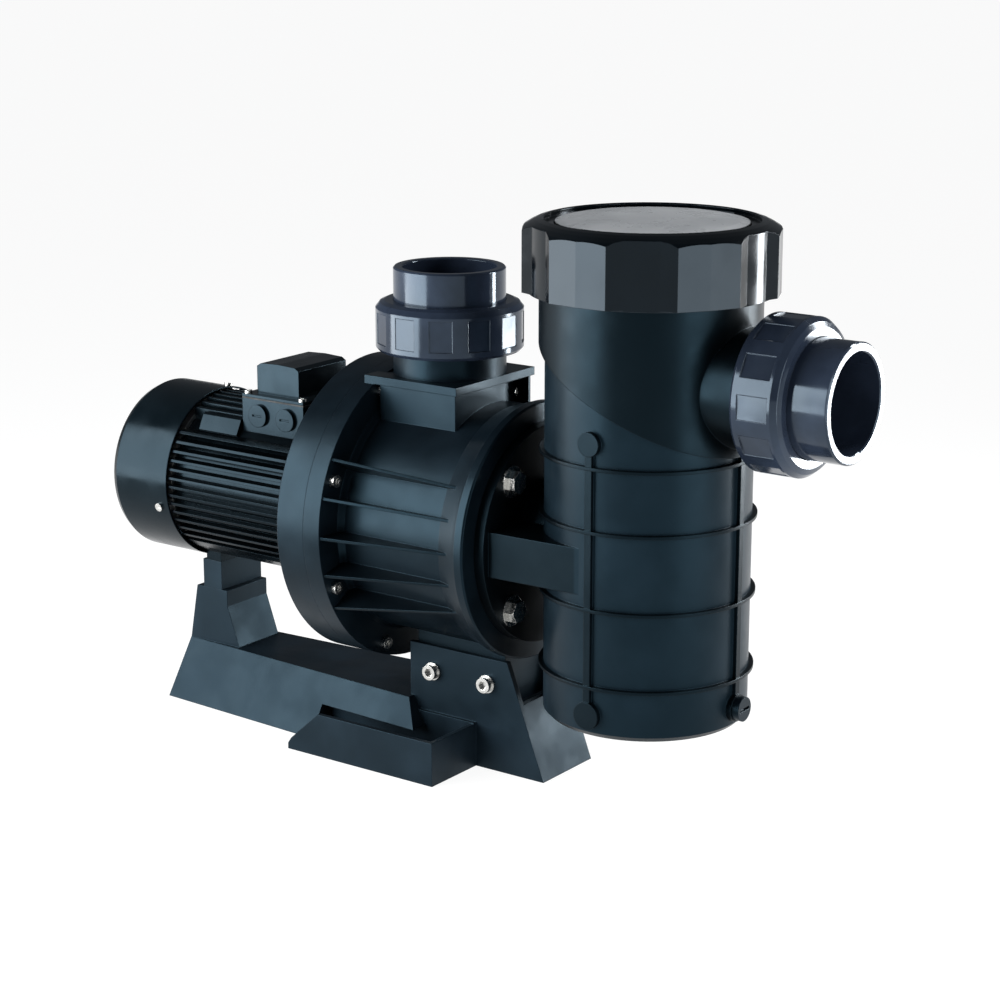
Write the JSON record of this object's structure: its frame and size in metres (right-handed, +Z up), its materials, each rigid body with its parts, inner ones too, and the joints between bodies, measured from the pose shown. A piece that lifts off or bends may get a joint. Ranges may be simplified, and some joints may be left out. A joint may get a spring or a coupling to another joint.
{
  "type": "pool pump",
  "caption": "Swimming-pool pump: a finned electric motor drives a closed impeller in a ribbed volute, fed through a tall strainer pot with a screwed see-through lid.",
  "frame": {"origin": "on the floor, under the middle of the overall length, in the pump's upright plane of symmetry", "axes": "+X along the shaft towards the suction union, +Y to the left when looking along +X, +Z up"},
  "size_m": [0.8134, 0.2974, 0.548],
  "materials": {
    "stand_plastic": "satin moulded",
    "housing_plastic": "satin moulded",
    "ring_plastic": "satin moulded",
    "union_plastic": "smooth moulded",
    "lens_plastic": "polished, see-through",
    "basket_plastic": "satin moulded",
    "motor_paint": "satin paint",
    "cover_paint": "satin paint",
    "box_plastic": "satin moulded",
    "fan_plastic": "moulded",
    "block_plastic": "moulded",
    "impeller_plastic": "moulded",
    "seal_ceramic": "lapped",
    "seal_rubber": "moulded",
    "fastener_steel": "stainless",
    "shaft_steel": "ground",
    "bearing_steel": "polished",
    "lamination_steel": "stacked sheet",
    "bare_aluminium": "cast",
    "copper": "enamelled wire",
    "stud_brass": "machined"
  },
  "bodies": {
    "pump": {"base_stand": "stand_plastic", "motor_leg": "stand_plastic", "stator_core": "lamination_steel", "winding_ends": "copper", "bearing_outer_races": "bearing_steel", "motor_frame": "motor_paint", "rear_shield": "bare_aluminium", "front_shield": "bare_aluminium", "fan_cover": "cover_paint", "fan_cover_screws": "fastener_steel", "terminal_box": "box_plastic", "terminal_gasket": "seal_rubber", "terminal_lid": "box_plastic", "terminal_screws": "fastener_steel", "terminal_block": "block_plastic", "terminal_studs": "stud_brass", "gland_plugs": "box_plastic", "pump_body": "housing_plastic", "motor_bracket": "housing_plastic", "ring_screws": "fastener_steel", "body_o_ring": "seal_rubber", "seal_seat": "seal_ceramic", "wear_ring": "impeller_plastic", "diffuser": "impeller_plastic", "pot_bolt_washers": "fastener_steel", "pot_bolts": "fastener_steel", "saddle_bolts": "fastener_steel", "saddle_nuts": "fastener_steel", "strainer_pot": "housing_plastic", "pot_o_ring": "seal_rubber", "suction_tail": "union_plastic", "discharge_tail": "union_plastic"},
    "rotor": {"motor_shaft": "shaft_steel", "rotor_core": "lamination_steel", "bearing_inner_races": "bearing_steel", "bearing_balls": "bearing_steel", "cooling_fan": "fan_plastic", "water_slinger": "seal_rubber", "seal_rotor": "seal_rubber", "impeller": "impeller_plastic", "impeller_nut": "stud_brass"},
    "lid": {"lid_lens": "lens_plastic", "lid_o_ring": "seal_rubber"},
    "lid_lock_ring": {"lid_ring": "ring_plastic"},
    "strainer_basket": {"basket": "basket_plastic"},
    "basket_bail": {"basket_handle": "basket_plastic"},
    "suction_union_nut": {"suction_nut": "union_plastic"},
    "discharge_union_nut": {"discharge_nut": "union_plastic"},
    "pot_drain": {"drain_plug": "housing_plastic"},
    "volute_vent": {"vent_plug": "fastener_steel"}
  },
  "joints": [
    {"name": "rotor_spin", "type": "hinge", "parent": "pump", "child": "rotor", "pos_m": [0, 0, 0.2365], "axis": [1, 0, 0], "continuous": true},
    {"name": "lid_lift", "type": "slide", "parent": "pump", "child": "lid", "axis": [0, 0, 1], "range_m": [0, 0.52]},
    {"name": "lid_ring_turn", "type": "hinge", "parent": "lid", "child": "lid_lock_ring", "pos_m": [0.1967, 0, 0.51], "axis": [0, 0, 1], "continuous": true},
    {"name": "basket_lift", "type": "slide", "parent": "pump", "child": "strainer_basket", "axis": [0, 0, 1], "range_m": [0, 0.312]},
    {"name": "bail_swing", "type": "hinge", "parent": "strainer_basket", "child": "basket_bail", "pos_m": [0.1967, 0, 0.508], "axis": [0, -1, 0], "range_deg": [0, 90]},
    {"name": "suction_nut_turn", "type": "hinge", "parent": "pump", "child": "suction_union_nut", "pos_m": [0.3446, 0, 0.4024], "axis": [1, 0, 0], "continuous": true},
    {"name": "discharge_nut_turn", "type": "hinge", "parent": "pump", "child": "discharge_union_nut", "pos_m": [-0.0309, 0, 0.4254], "axis": [0, 0, 1], "continuous": true},
    {"name": "drain_plug_turn", "type": "hinge", "parent": "pump", "child": "pot_drain", "pos_m": [0.3, 0, 0.1036], "axis": [1, 0, 0], "continuous": true},
    {"name": "vent_plug_turn", "type": "hinge", "parent": "pump", "child": "volute_vent", "pos_m": [0.005, 0.052, 0.355], "axis": [1, 0, 0], "continuous": true}
  ],
  "couplings": [
    {"joint": "basket_lift", "follows": "lid_lift", "ratio": 0.6},
    {"joint": "bail_swing", "follows": "lid_lift", "rad_per_m": 3}
  ]
}
